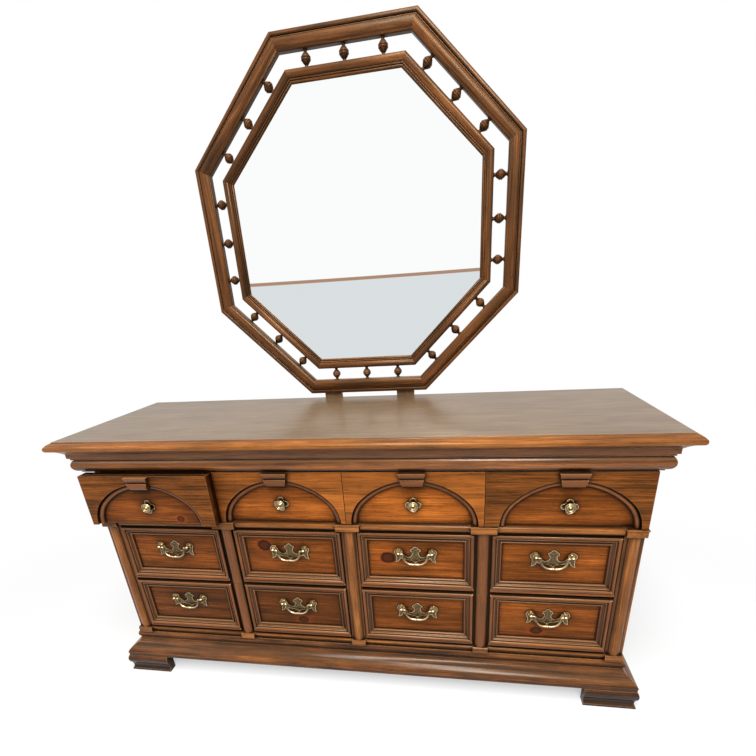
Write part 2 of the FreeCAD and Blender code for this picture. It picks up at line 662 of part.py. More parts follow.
def wide_trim(side, z0, height):
    """Mouldings round both panels, a bead below each, and the length of pilaster between them."""
    bottom, top = z0 + MOULD_BELOW, z0 + height - MOULD_ABOVE
    lengths = []
    for x0, x1 in panel_spans(side):
        near, far = x0 + MOULD_SIDE, x1 - MOULD_SIDE
        lengths += moulding_frame(near, far, bottom, top)
        low = z0 + MOULD_SIDE
        edge, crest = PANEL_SET - LOWER_BEAD_EDGE, PANEL_SET - LOWER_BEAD_OUT
        bead = [(PANEL_SET, low), (edge, low), ((crest, (low + bottom) / 2), (edge, bottom))]
        bead.append((PANEL_SET, bottom))
        lengths.append(prism(bead, lambda y, z: Vec(near, y, z), Vec(far - near, 0, 0)))
    outline = half_round(PILASTER_W, PILASTER_OUT, PANEL_SET + PILASTER_SHOULDER, PANEL_SET)
    pilaster = prism(outline, lambda x, y: Vec(side * COLUMN_X + x, y, z0), Vec(0, 0, height))
    return lengths + [pilaster]


def wide_box(side, z0):
    x0, x1 = wide_span(side)
    return drawer_box(x0 + SIDE_GAP, x1 - SIDE_GAP, PANEL_SET + WIDE_FRONT_T, z0 + BOX_RISE, WIDE_BOX_H)


# ---- pulls ---------------------------------------------------------------------------------------
def batwing(centre):
    """Back plate: right half from the crest to the lower point, and its mirror image."""
    half = stretched([
        ((11.5, 88.9), (16.7, 61.1)), ((28.1, 52.8), (30.2, 16.7)), ((19.8, -16.7), (22.9, -52.8)),
        ((35.4, -91.7), (56.2, -83.3)), ((70.8, -55.6), (79.2, -5.6)), ((97.9, 58.3), (122.9, 27.8)),
        ((128.1, -11.1), (120.8, -50.0)), ((117.7, -116.7), (122.9, -188.9)),
        ((104.2, -172.2), (91.7, -105.6)), ((79.2, -133.3), (64.6, -133.3)),
        ((45.8, -144.4), (29.2, -155.6)), ((14.6, -166.7), (0.0, -205.6)),
    ], POST_SPACING / 2, PLATE_CREST)
    crest = (0, PLATE_CREST)
    steps = [crest] + half
    back = [crest] + [(x, z) for _, (x, z) in half]
    left = [((-mx, mz), (-x, z)) for ((mx, mz), _), (x, z) in zip(reversed(half), reversed(back[:-1]))]
    outline = prism(steps[1:] + left, lambda x, z: centre + Vec(x, 0, z), Vec(0, -PLATE_T, 0))
    return outline


def post(seat, inward):
    """Ball-headed post with its bolt, bored from the inner side for the bail's pin."""
    ball = seat + Vec(0, -POST_REACH, 0)
    stem = rod(POST_R, seat + Vec(0, -PLATE_T, 0), Vec(0, -1, 0), POST_REACH - PLATE_T)
    collar = rod(BALL_R, seat + Vec(0, -PLATE_T, 0), Vec(0, -1, 0), 1.5)
    bolt = rod(BOLT_R, seat + Vec(0, WIDE_FRONT_T + NUT_T, 0), Vec(0, -1, 0), WIDE_FRONT_T + NUT_T + PLATE_T)
    whole = fused([Part.makeSphere(BALL_R, ball), stem, collar, bolt])
    depth = BAIL_PIN_IN + PIN_GAP
    return whole.cut(rod(BAIL_PIN_R + PIN_GAP, ball - inward * (depth - BAIL_PIN_IN), inward, 2 * BALL_R))


def pull_plates(side, z0, height):
    pieces = []
    for left, right in post_places(side, z0, height):
        middle = (left + right) * 0.5
        plate = batwing(middle)
        holes = [rod(BOLT_R + BOLT_GAP, seat, Vec(0, -1, 0), PLATE_T) for seat in (left, right)]
        pieces.append(plate.cut(holes))
        for seat, inward in ((left, X_AXIS), (right, -X_AXIS)):
            pieces.append(post(seat, inward))
            nut_at = seat + Vec(0, WIDE_FRONT_T, 0)
            pieces.append(rod(NUT_R, nut_at, Y_AXIS, NUT_T).cut(rod(BOLT_R, nut_at, Y_AXIS, NUT_T)))
    return pieces


def bail(left, right):
    """Drop handle: pins into both posts, a bend, a leg, a round corner and the bar with its bead."""
    middle = (left + right) * 0.5 + Vec(0, -POST_REACH, 0)
    half = POST_SPACING / 2
    shoulder, leg = half - BAIL_SHOULDER, half - BAIL_SHOULDER - BAIL_BEND_R
    corner, bar = leg - BAIL_CORNER_R, BAIL_DROP - BAIL_CORNER_R
    cos45 = math.sqrt(0.5)
    run = [
        (shoulder, 0),
        ((shoulder - BAIL_BEND_R * cos45, -BAIL_BEND_R * (1 - cos45)), (leg, -BAIL_BEND_R)),
        (leg, -bar),
        ((corner + BAIL_CORNER_R * cos45, -bar - BAIL_CORNER_R * cos45), (corner, -BAIL_DROP)),
        (-corner, -BAIL_DROP),
        ((-corner - BAIL_CORNER_R * cos45, -bar - BAIL_CORNER_R * cos45), (-leg, -bar)),
        (-leg, -BAIL_BEND_R),
        ((-shoulder + BAIL_BEND_R * cos45, -BAIL_BEND_R * (1 - cos45)), (-shoulder, 0)),
    ]

    def place(x, z):
        return middle + Vec(x, 0, z)

    edges, here = [], run[0]
    for step in run[1:]:
        if isinstance(step[0], tuple):
            edges.append(Part.Arc(place(*here), place(*step[0]), place(*step[1])).toShape())
            here = step[1]
        else:
            edges.append(Part.LineSegment(place(*here), place(*step)).toShape())
            here = step
    ring = Part.Wire(Part.makeCircle(BAIL_R, place(shoulder, 0), X_AXIS))
    bar_solid = Part.Wire(edges).makePipeShell([ring], True, False)
    pin = half - BAIL_PIN_IN - shoulder
    pins = [rod(BAIL_PIN_R, place(x, 0), X_AXIS, pin) for x in (-half + BAIL_PIN_IN, shoulder)]
    bead = turned(
        [
            (0, -BAIL_BEAD_HALF), (BAIL_R, -BAIL_BEAD_HALF), ((BAIL_BEAD_R, 0), (BAIL_R, BAIL_BEAD_HALF)),
            (0, BAIL_BEAD_HALF),
        ],
        place(0, -BAIL_DROP), X_AXIS, Z_AXIS,
    )
    collars = [
        rod(COLLAR_R, place(at - COLLAR_HALF, -BAIL_DROP), X_AXIS, 2 * COLLAR_HALF)
        for at in (-COLLAR_AT, COLLAR_AT)
    ]
    return [fused([bar_solid, bead] + pins + collars)]


# ---- mirror --------------------------------------------------------------------------------------
def octagon_rails(profile, reach):
    """Eight mitred rails. The profile is (distance from the mirror's centre, out from its back)."""
    wide = reach * math.tan(math.pi / 8)
    rail = prism(profile, lambda r, out: Vec(-wide, CASE_D - out, r), Vec(2 * wide, 0, 0))
    sector = prism([(0, 0), (-wide, reach), (wide, reach)], lambda x, z: Vec(x, CASE_D, z), Vec(0, -CASE_D, 0))
    first = rail.common(sector)
    first.translate(Vec(0, 0, MIRROR_Z))
    rails = []
    for turn in range(8):
        copy = first.copy()
        copy.rotate(Vec(0, 0, MIRROR_Z), Y_AXIS, 45 * turn)
        rails.append(copy)
    return rails


def octagon_plate(flat_r, y0, y1):
    corner = flat_r / math.cos(math.pi / 8)
    points = []
    for k in range(8):
        angle = math.pi / 8 + k * math.pi / 4
        points.append((corner * math.cos(angle), corner * math.sin(angle)))
    return prism(points, lambda x, z: Vec(x, y0, MIRROR_Z + z), Vec(0, y1 - y0, 0))


def mirror_outer_frame():
    r, inner, t = MIRROR_R, MIRROR_R - OUTER_RAIL_W, OUTER_RAIL_T
    profile = [
        (r, 0), (r, t - 9), ((r - 1.4, t - 5.5), (r - 5, t - 4)), ((r - 8, t - 3.8), (r - 11, t - 5)),
        (r - 12.5, t - 8), (r - 14, t - 8), (r - 14, t - 4.5), ((r - 15.5, t - 3.2), (r - 17, t - 4.5)),
        (r - 17.6, t - 2), ((r - 27, t), (inner + 4, t - 5)), ((inner + 1, t - 6.4), (inner, t - 9)),
        (inner, 0),
    ]
    return [rail.cut(support_screws()) for rail in octagon_rails(profile, r * 1.2)]


def mirror_inner_frame():
    r, sight, t = INNER_R, SIGHT_R, INNER_RAIL_T
    back = RABBET_LIP
    crown, roll, step, bead = (r - INNER_RAIL_W * share for share in (0.25, 0.43, 0.62, 0.77))
    profile = [
        (r, 0), (r, t - 8), ((r - 2, t - 2.6), (crown, t)), ((roll, t - 0.6), (step, t - 4)), (step, t - 6.5),
        (((step + bead) / 2, t - 5), (bead, t - 6.5)), (bead, t - 8.5),
        (((bead + sight) / 2, t - 7.4), (sight + 1, t - 10)), (sight, t - 11), (sight, t - back - 2),
        (sight + GLASS_LAP, t - back - 2), (sight + GLASS_LAP, 0),
    ]
    return octagon_rails(profile, r * 1.2)


def glass_front():
    """Front face of the glass, against the back of the inner rail's lip."""
    return CASE_D - (INNER_RAIL_T - RABBET_LIP - 2)


def mirror_glass():
    return [octagon_plate(SIGHT_R + GLASS_LAP - 0.5, glass_front(), glass_front() + GLASS_T)]


def mirror_backing():
    y0 = glass_front() + GLASS_T
    return [octagon_plate(SIGHT_R + GLASS_LAP - 0.5, y0, y0 + MIRROR_BACK_T)]


def gallery_spindles():
    """Turned spindles between the two frames, from the inner rail's edge to the outer rail's."""
    length, neck, foot, belly = GALLERY_W, SPINDLE_NECK_R, SPINDLE_FOOT_R, SPINDLE_R
    profile = [
        (0, 0), (foot, 0), (foot, length * 0.04), ((neck, length * 0.07), (neck, length * 0.13)),
        ((belly * 0.64, length * 0.24), (belly * 0.92, length * 0.38)),
        ((belly, length * 0.43), (belly * 0.96, length * 0.48)), (belly * 0.86, length * 0.5),
        (belly * 0.96, length * 0.52), ((belly, length * 0.57), (belly * 0.92, length * 0.62)),
        ((belly * 0.64, length * 0.76), (neck, length * 0.87)), ((neck, length * 0.93), (foot, length * 0.96)),
        (foot, length), (0, length),
    ]
    centre_y = CASE_D - (INNER_RAIL_T - 8) / 2
    side = 2 * INNER_R * math.tan(math.pi / 8)
    spindles = []
    for turn in range(8):
        for k in range(SPINDLES_A_SIDE):
            x = side * SPINDLE_SPREAD * (k / (SPINDLES_A_SIDE - 1) - 0.5)
            spindle = turned(profile, Vec(x, centre_y, MIRROR_Z + INNER_R), Z_AXIS, X_AXIS)
            spindle.rotate(Vec(0, 0, MIRROR_Z), Y_AXIS, 45 * turn)
            spindles.append(spindle)
    return spindles


def support_top():
    return TOP_Z + MIRROR_GAP + OUTER_RAIL_W - SUPPORT_TOP_GAP


def support_screws():
    """Countersunk screws through each support: a pair into the mirror's rail and pairs into the case."""
    top = support_top()
    rail_mid = TOP_Z + MIRROR_GAP + OUTER_RAIL_W / 2
    levels = [rail_mid, SLAB_Z - SCREW_EDGE, top - SUPPORT_LENGTH + SCREW_EDGE]
    screws = []
    for level in levels:
        for dx in (-SUPPORT_W / 2 + SCREW_EDGE, SUPPORT_W / 2 - SCREW_EDGE):
            at = Vec(SUPPORT_X + dx, CASE_D + SUPPORT_T, level)
            bite = SCREW_BITE if level > SLAB_Z else BACK_T
            shank = rod(SCREW_R, at, Vec(0, -1, 0), SUPPORT_T + bite)
            head = Part.makeCone(SCREW_HEAD_R, SCREW_R, SCREW_HEAD_H, at, Vec(0, -1, 0))
            screws.append(fused([shank, head]))
    return across(screws)


def mirror_supports():
    """Two battens screwed to the back of the case and to the mirror's bottom rail, hidden from the front."""
    top = support_top()
    batten = block(
        SUPPORT_X - SUPPORT_W / 2, SUPPORT_X + SUPPORT_W / 2, CASE_D, CASE_D + SUPPORT_T,
        top - SUPPORT_LENGTH, top,
    )
    return [piece.cut(support_screws()) for piece in both_sides(batten)]


# ---- the nodes -----------------------------------------------------------------------------------
def nodes():
    """Every sub-part by name, as a list of separate solids."""
    made = {
        "top_slab": top_slab(), "cornice": cornice(), "case_sides": case_sides(), "back_panel": back_panel(),
        "case_bottom": case_bottom(), "face_frame": face_frame(), "partitions": partitions(),
        "web_frames": web_frames(), "ledge_moulding": ledge_moulding(), "pilaster_blocks": pilaster_blocks(),
        "case_pilasters": case_pilasters(), "plinth": plinth(), "feet": feet(),
        "mirror_outer_frame": mirror_outer_frame(), "mirror_inner_frame": mirror_inner_frame(),
        "gallery_spindles": gallery_spindles(), "mirror_glass": mirror_glass(),
        "mirror_backing": mirror_backing(),
        "mirror_supports": mirror_supports(), "support_screws": support_screws(),
    }
    for index, (x0, x1) in enumerate(small_drawer_spans()):
        name = f"small_drawer_{index + 1}"
        pieces = {
            "front": small_front(x0, x1), "arch_trim": small_trim(x0, x1), "box": small_box(index, x0, x1),
            "knob": knob(x0, x1),
        }
        for piece, solids in pieces.items():
            opened = Vec(0, -AJAR if index == 0 else 0, 0)
            made[f"{name}_{piece}"] = [solid.translated(opened) for solid in solids]
    for row, z0, height in (("middle", MID_Z, MID_FRONT_H), ("lower", LOW_Z, LOW_FRONT_H)):
        for hand, side in (("left", -1), ("right", 1)):
            name = f"{row}_{hand}_drawer"
            made[f"{name}_front"] = wide_front(side, z0, height)
            made[f"{name}_trim"] = wide_trim(side, z0, height)
            made[f"{name}_box"] = wide_box(side, z0)
            made[f"{name}_pull_plates"] = pull_plates(side, z0, height)
            for number, (left, right) in enumerate(post_places(side, z0, height)):
                made[f"{name}_bail_{number + 1}"] = bail(left, right)
    return made


def main():
    os.makedirs("parts", exist_ok=True)
    to_origin = Vec(0, ORIGIN_SHIFT, 0)
    for name, solids in nodes().items():
        shape = Part.makeCompound([solid.translated(to_origin) for solid in solids])
        shape.exportStep(f"parts/{name}.step")


main()
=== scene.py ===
"""Looks for a pine dresser with an octagonal gallery mirror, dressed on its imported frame. Metres."""

import json
import math

import bmesh
import bpy
import numpy as np
from mathutils import Matrix, Vector


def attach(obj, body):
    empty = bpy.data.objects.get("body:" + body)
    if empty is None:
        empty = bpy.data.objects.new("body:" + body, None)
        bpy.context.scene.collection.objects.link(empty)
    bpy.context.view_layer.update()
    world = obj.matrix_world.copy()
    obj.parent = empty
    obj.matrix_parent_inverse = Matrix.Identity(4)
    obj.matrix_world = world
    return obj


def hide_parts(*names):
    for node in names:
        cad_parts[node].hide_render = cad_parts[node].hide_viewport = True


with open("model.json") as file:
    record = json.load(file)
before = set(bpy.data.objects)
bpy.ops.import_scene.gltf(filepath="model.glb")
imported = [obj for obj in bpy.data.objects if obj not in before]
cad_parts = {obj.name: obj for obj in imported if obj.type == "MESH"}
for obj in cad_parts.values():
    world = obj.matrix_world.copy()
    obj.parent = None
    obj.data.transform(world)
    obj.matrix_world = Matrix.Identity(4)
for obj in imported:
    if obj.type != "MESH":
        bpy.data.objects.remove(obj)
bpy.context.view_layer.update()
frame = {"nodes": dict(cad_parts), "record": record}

# ---- camera --------------------------------------------------------------------------------------
IMAGE_SIZE = 756          # pixels
FOCAL_PIXELS = 451.1
CENTRE_ROW = 490.0        # pixel row that the lens points at
SENSOR = 36.0             # millimetres
CAMERA_PLACE = Vector((0.3062, -1.3250, 1.1782))
CAMERA_YAW, CAMERA_PITCH, CAMERA_ROLL = 0.1864, -0.4068, 0.0697


def add_camera():
    turn = (
        Matrix.Rotation(CAMERA_YAW, 3, "Z")
        @ Matrix.Rotation(CAMERA_PITCH, 3, "X")
        @ Matrix.Rotation(CAMERA_ROLL, 3, "Y")
    )
    right, ahead, up = turn.col[0], turn.col[1], turn.col[2]
    axes = Matrix((right, up, -ahead)).transposed()
    lens = bpy.data.cameras.new("camera")
    lens.sensor_width = SENSOR
    lens.lens = FOCAL_PIXELS / IMAGE_SIZE * SENSOR
    lens.shift_y = (CENTRE_ROW - IMAGE_SIZE / 2) / IMAGE_SIZE
    camera = bpy.data.objects.new("camera", lens)
    camera.matrix_world = Matrix.Translation(CAMERA_PLACE) @ axes.to_4x4()
    bpy.context.scene.collection.objects.link(camera)
    bpy.context.scene.camera = camera


# ---- shader maths --------------------------------------------------------------------------------
class Wire:
    """A shader socket that Python's operators work on: each operator adds a Math node."""

    def __init__(self, finish, socket):
        self.finish, self.socket = finish, socket

    def _math(self, operation, *values):
        return self.finish.node("ShaderNodeMath", {"operation": operation}, dict(enumerate(values)))

    def __add__(self, other):
        return self._math("ADD", self, other)

    def __sub__(self, other):
        return self._math("SUBTRACT", self, other)

    def __mul__(self, other):
        return self._math("MULTIPLY", self, other)

    def __radd__(self, other):
        return self._math("ADD", other, self)

    def __rsub__(self, other):
        return self._math("SUBTRACT", other, self)

    def __rmul__(self, other):
        return self._math("MULTIPLY", other, self)

    def __abs__(self):
        return self._math("ABSOLUTE", self)

    def at_least(self, other):
        return self._math("MAXIMUM", self, other)


RAY_KINDS = {"camera": 0, "glossy": 3}    # outputs of the Light Path node


class Finish:
    """A material or a world, built node by node."""

    def __init__(self, holder):
        holder.use_nodes = True
        self.holder, self.tree = holder, holder.node_tree
        self.tree.nodes.clear()

    def node(self, kind, settings=None, sockets=None, output=0):
        """Adds a node, sets it up, fills its sockets with values or wires, and returns an output."""
        node = self.tree.nodes.new(kind)
        for name, value in (settings or {}).items():
            if name == "stops":
                self._set_stops(node.color_ramp, value)
            else:
                setattr(node, name, value)
        for name, value in (sockets or {}).items():
            if isinstance(value, Wire):
                self.tree.links.new(value.socket, node.inputs[name])
            else:
                node.inputs[name].default_value = value
        return Wire(self, node.outputs[output]) if node.outputs else None

    @staticmethod
    def _set_stops(ramp, stops):
        while len(ramp.elements) < len(stops):
            ramp.elements.new(1.0)
        for element, (place, shade) in zip(ramp.elements, stops):
            element.position = place
            element.color = shade

    def noise(self, place, scale, detail=2.0, roughness=0.5, distortion=0.0):
        return self.node(
            "ShaderNodeTexNoise", {},
            {
                "Vector": place, "Scale": scale, "Detail": detail,
                "Roughness": roughness, "Distortion": distortion,
            },
        )

    def vector(self, operation, first, second=(0, 0, 0), output=0):
        """Vector Math. Output 0 is the vector and 1 the number, for a length or a dot product."""
        return self.node("ShaderNodeVectorMath", {"operation": operation}, {0: first, 1: second}, output)

    def length(self, vector):
        return self.vector("LENGTH", vector, output=1)

    def seen_by(self, kind):
        """1 for the rays of one kind, else 0."""
        return self.node("ShaderNodeLightPath", {}, output=RAY_KINDS[kind])

    def steps(self, value, low, high, to_low=0.0, to_high=1.0):
        """Runs smoothly from to_low to to_high while value runs from low to high."""
        sockets = {"Value": value, "From Min": low, "From Max": high, "To Min": to_low, "To Max": to_high}
        return self.node("ShaderNodeMapRange", {"interpolation_type": "SMOOTHSTEP"}, sockets)

    def mix(self, factor, first, second, blend="MIX"):
        sockets = {"Factor": factor, 6: first, 7: second}    # 6 and 7 are the colours
        return self.node("ShaderNodeMix", {"data_type": "RGBA", "blend_type": blend}, sockets, output=2)

    def ramp(self, stops, amount):
        return self.node("ShaderNodeValToRGB", {"stops": stops}, {0: amount})

    def bump(self, height, strength, distance):
        sockets = {"Strength": strength, "Distance": distance, "Height": height}
        return self.node("ShaderNodeBump", {}, sockets)

    def place(self):
        """Place in the piece's own frame, in metres."""
        return self.node("ShaderNodeTexCoord", {}, output=3)

    def normal(self):
        return self.node("ShaderNodeNewGeometry", {}, output=1)

    def height_of(self, vector):
        """The z part of a vector."""
        return self.node("ShaderNodeSeparateXYZ", {}, {0: vector}, output=2)

    def upward(self):
        """How far the surface faces up, from -1 to 1."""
        return self.height_of(self.normal())

    def open_sky(self, reach):
        """1 in the open, falling towards 0 in corners that are narrower than `reach`."""
        return self.node("ShaderNodeAmbientOcclusion", {"samples": 6}, {"Distance": reach}, output=1)

    def sharpness(self, radius):
        """0 on flats, rising at edges and inner corners."""
        softened = self.node("ShaderNodeBevel", {"samples": 4}, {"Radius": radius})
        return 1.0 - self.vector("DOT_PRODUCT", softened, self.normal(), output=1)

    def surface(self, **sockets):
        """Closes the material with a Principled BSDF. Underscores in names stand for spaces."""
        named = {name.replace("_", " "): value for name, value in sockets.items()}
        shader = self.node("ShaderNodeBsdfPrincipled", {}, named)
        self.node("ShaderNodeOutputMaterial", {}, {"Surface": shader})
        return self.holder


def new_finish(name):
    return Finish(bpy.data.materials.new(name))


def colour(red, green, blue):
    """Colour written as it looks on a screen, from 0 to 255."""
    def linear(value):
        share = value / 255
        return share / 12.92 if share <= 0.04045 else ((share + 0.055) / 1.055) ** 2.4

    return (linear(red), linear(green), linear(blue), 1.0)


WHITE = (1, 1, 1, 1)


# ---- wood ----------------------------------------------------------------------------------------
# near black in narrow quirks: dark glazing together with painted shade
GLAZE = colour(20, 10, 4)
# darker towards inner corners: painted shade together with darker glazing
HANDLED = colour(104, 88, 76)    # multiplies the wood near inner corners
# pale for worn crests, and for painted highlights on crests and on all that faces up
WORN = colour(216, 162, 112)
AMBER = colour(255, 206, 138)
KNOT_HALO, KNOT_CORE, KNOT_RING = colour(150, 66, 22), colour(60, 24, 10), colour(24, 9, 4)
BROAD_CORNER = 0.08              # reach of the painted shade and darker glazing towards inner corners
CREST_RADIUS = 0.003             # width of the pale strip on an edge: worn edge and painted highlight

# how often a figure repeats in a metre: along the grain, then twice across it
FIBRE = (11.0, 420.0, 420.0)
BAND = (2.6, 80.0, 80.0)
CLOUD = (5.0, 17.0, 17.0)
PORE = (45.0, 800.0, 800.0)


def pine_figure(f, contrast=1.0):
    """Streaks along the grain, from about 0 for pale wood to 1 for dark, and the fine fibre alone."""
    grain = f.node("ShaderNodeAttribute", {"attribute_name": "grain"}, output=1)
    tone = f.node("ShaderNodeAttribute", {"attribute_name": "tone"}, output=2)
    fibre = f.noise(f.vector("MULTIPLY", grain, FIBRE), 1.0, 3.0, 0.65, 0.3)
    band = f.noise(f.vector("MULTIPLY", grain, BAND), 1.0, 3.0, 0.6, 0.7)
    cloud = f.noise(f.vector("MULTIPLY", grain, CLOUD), 1.0, 2.0)
    dash = f.noise(f.vector("MULTIPLY", grain, PORE), 1.0, 1.0)
    figure = (fibre - 0.5) * 1.2 + (band - 0.5) * 1.1 + (cloud - 0.5) * 0.9
    pores = f.steps(dash, 0.6, 0.74, 0.0, 0.35)
    # each solid's darkness darkens its wood; on some pieces it carries painted shade
    return (figure + pores) * contrast + tone * 0.4 + 0.45, fibre


def knotted(f, base, knots, ruffle):
    """Round knots at given places: centre and radii in metres, and how strong."""
    place = f.place()
    for centre, radii, strength in knots:
        offset = f.vector("SUBTRACT", place, centre)
        reach = f.length(f.vector("MULTIPLY", offset, tuple(1 / r for r in radii)))
        reach = reach + (ruffle - 0.5) * 0.8
        base = f.mix(f.steps(reach, 0.9, 2.4, 0.4 * strength, 0.0), base, KNOT_HALO)
        base = f.mix(f.steps(reach, 0.75, 1.1, 0.95 * strength, 0.0), base, KNOT_CORE)
        base = f.mix(f.steps(abs(reach - 0.8), 0.0, 0.32, 0.85 * strength, 0.0), base, KNOT_RING)
    return base


def lacquered(
    f, base, fibre, roughness=0.34, gloss=0.22, coat=0.1, crisp=0.014, quirk_from=0.5,
    glaze=0.95, burnish=0.5, wear=0.6, rubbed=0.0
):
    """Closes a wood finish.

    gloss and coat shine. glaze darkens quirks narrower than crisp, from the openness quirk_from: dark
    glazing and painted shade.
    burnish darkens towards inner corners: painted shade and darker glazing.
    wear pales the crests: worn edges and painted highlight. rubbed pales all that faces up: painted
    highlight.
    """
    # painted shade with dark glazing in quirks narrower than crisp
    quirk = f.steps(f.open_sky(crisp), quirk_from, 0.98, glaze, 0.0)
    # painted shade with darker glazing towards inner corners
    shaded = f.steps(f.open_sky(BROAD_CORNER), 0.85, 0.995, burnish, 0.0)
    upward = f.upward()
    base = f.mix(shaded, base, f.mix(1.0, base, HANDLED, "MULTIPLY"))
    # painted highlight: all that faces up is paled
    base = f.mix(f.steps(upward, 0.25, 0.9) * rubbed, base, WORN)
    base = f.mix(quirk, base, GLAZE)
    # crests that face up or sideways are paled: worn edges with painted highlight
    crest = f.steps(f.sharpness(CREST_RADIUS), 0.01, 0.1) * (1.0 - quirk) * f.steps(upward, -0.2, 0.5)
    base = f.mix(crest * wear, base, WORN)
    bump = f.bump(fibre, 0.1, 0.0005)
    rough = f.steps(fibre + quirk * 0.4, 0.35, 0.95, roughness - 0.04, roughness + 0.14)
    return f.surface(
        Base_Color=base, Roughness=rough, Specular_IOR_Level=gloss, Specular_Tint=AMBER,
        Coat_Weight=coat, Coat_Roughness=0.18, Normal=bump,
    )


# ramps from pale to dark wood
CASE_PINE = (
    (0.0, colour(172, 108, 52)), (0.35, colour(132, 78, 34)),
    (0.7, colour(90, 50, 21)), (1.0, colour(46, 25, 11)),
)
MOULDING_PINE = (
    (0.0, colour(150, 86, 40)), (0.35, colour(116, 63, 27)),
    (0.7, colour(80, 42, 17)), (1.0, colour(42, 22, 9)),
)
PANEL_PINE = (
    (0.0, colour(196, 112, 42)), (0.3, colour(144, 77, 27)),
    (0.6, colour(98, 51, 17)), (1.0, colour(44, 22, 8)),
)
ARCHED_PINE = (
    (0.0, colour(184, 112, 48)), (0.35, colour(148, 84, 33)),
    (0.7, colour(104, 58, 23)), (1.0, colour(54, 30, 12)),
)
FRAME_PINE = (
    (0.0, colour(126, 77, 42)), (0.35, colour(88, 52, 27)),
    (0.7, colour(57, 32, 16)), (1.0, colour(30, 16, 9)),
)
# flat top: brown greyed by a painted reflection of the pale room
SLAB_FLAT = ((0.0, colour(122, 101, 76)), (0.5, colour(106, 85, 61)), (1.0, colour(84, 65, 45)))
SLAB_EDGE = ((0.0, colour(186, 118, 56)), (0.45, colour(136, 80, 34)), (1.0, colour(70, 38, 16)))


def pine(name, stops, knots=(), contrast=1.0, **lacquer):
    f = new_finish(name)
    amount, fibre = pine_figure(f, contrast)
    base = knotted(f, f.ramp(stops, amount), knots, fibre)
    return lacquered(f, base, fibre, **lacquer)


def slab_pine():
    """Polished slab whose flat top is a greyed brown, partly a painted reflection of the pale room, with
    orange edges.
    """
    f = new_finish("slab_pine")
    amount, fibre = pine_figure(f)
    # faces that look up take the greyed ramp with its painted reflection
    level = f.steps(f.upward(), 0.93, 0.999)
    base = f.mix(level, f.ramp(SLAB_EDGE, amount), f.ramp(SLAB_FLAT, amount))
    return lacquered(
        f, base, fibre, roughness=0.36, gloss=0.4, coat=0.15, crisp=0.006, burnish=0.0, wear=0.3
    )


def raw_wood(name, light, dark):
    f = new_finish(name)
    amount, fibre = pine_figure(f)
    base = f.mix(f.steps(amount, 0.0, 1.0), light, dark)
    return f.surface(Base_Color=base, Roughness=0.62, Normal=f.bump(fibre, 0.15, 0.0006))


# ---- metal and glass -----------------------------------------------------------------------------
BRASS_BRIGHT, BRASS_DARK = colour(232, 204, 156), colour(62, 52, 34)


def aged_brass():
    """Dark olive patina on the flats and in the hollows and bright rims; painted shade on all that doesn't
    face up.
    """
    f = new_finish("aged_brass")
    patch = f.noise(f.place(), 260.0, 3.0, 0.6)
    hollow = f.steps(f.open_sky(0.007), 0.4, 0.95, 0.6, 0.0)
    # darker wherever the surface doesn't face up: painted shade, and the patina of the plates' flat faces
    below = f.steps(f.upward(), 0.05, 0.6, 0.85, 0.0)
    rim = f.steps(f.sharpness(CREST_RADIUS), 0.01, 0.09)
    dark = hollow + below + (patch - 0.5) * 0.7 - rim * 0.95
    base = f.mix(f.steps(dark, 0.0, 1.0), BRASS_BRIGHT, BRASS_DARK)
    rough = f.steps(patch, 0.3, 0.7, 0.24, 0.4)
    return f.surface(Base_Color=base, Metallic=1.0, Roughness=rough)


def silvered_glass():
    f = new_finish("silvered_glass")
    return f.surface(Base_Color=colour(250, 251, 251), Metallic=1.0, Roughness=0.0)


def zinc():
    f = new_finish("zinc")
    base = f.mix(f.noise(f.place(), 300.0), colour(150, 150, 146), colour(196, 196, 192))
    return f.surface(Base_Color=base, Metallic=1.0, Roughness=0.4)


# ---- dressing a node -----------------------------------------------------------------------------
EDGE_SOFTNESS = 0.0006                    # width of the bevel on every sharp edge
SHARP_ANGLE = math.radians(32)            # edges that turn less are shaded smooth
FLAT_ANGLE = math.radians(0.3)            # faces that turn less are one flat
WELD = 1e-6                               # corners closer than this are one
ARCHED_BOARD_T = 0.017    # an arched board is thinner than this, and the board behind it thicker
# the end drawers darker and the middle ones lighter: painted light and shade on top of each board's own
# darkness
BOARD_TONES = {           # darker above 0: the arched board, then the board behind it
    "small_drawer_1_front": (0.75, 0.3), "small_drawer_2_front": (0.1, -0.3),
    "small_drawer_3_front": (0.0, -0.5), "small_drawer_4_front": (0.7, 0.1),
}
# each piece's own darkness with painted shade: the plinth, feet and lower and left-hand fronts darker
PIECE_TONES = {
    "plinth": 0.95, "feet": 1.0, "cornice": 0.2,
    "middle_left_drawer_front": 0.35, "middle_right_drawer_front": 0.1,
    "lower_left_drawer_front": 0.6, "lower_right_drawer_front": 0.35,
}
TONE_SPREAD = 0.25        # how much the tone differs from one solid to the next
GRAIN_SPREAD = 20         # metres over which the figure of each solid is moved


def solids(bm):
    """The separate solids of a mesh, as lists of faces.

    Only an edge with two faces joins them: where solids touch, their shared edges have more.
    """
    seen, found = set(), []
    for start in bm.faces:
        if start in seen:
            continue
        group, queue = [], [start]
        seen.add(start)
        while queue:
            face = queue.pop()
            group.append(face)
            for edge in face.edges:
                if len(edge.link_faces) == 2:
                    for other in edge.link_faces:
                        if other not in seen:
                            seen.add(other)
                            queue.append(other)
        found.append(group)
    return found


def grain_axes(points):
    """Longest, middle and shortest direction of a piece of wood."""
    _, _, axes = np.linalg.svd(points - points.mean(0), full_matrices=False)
    return axes


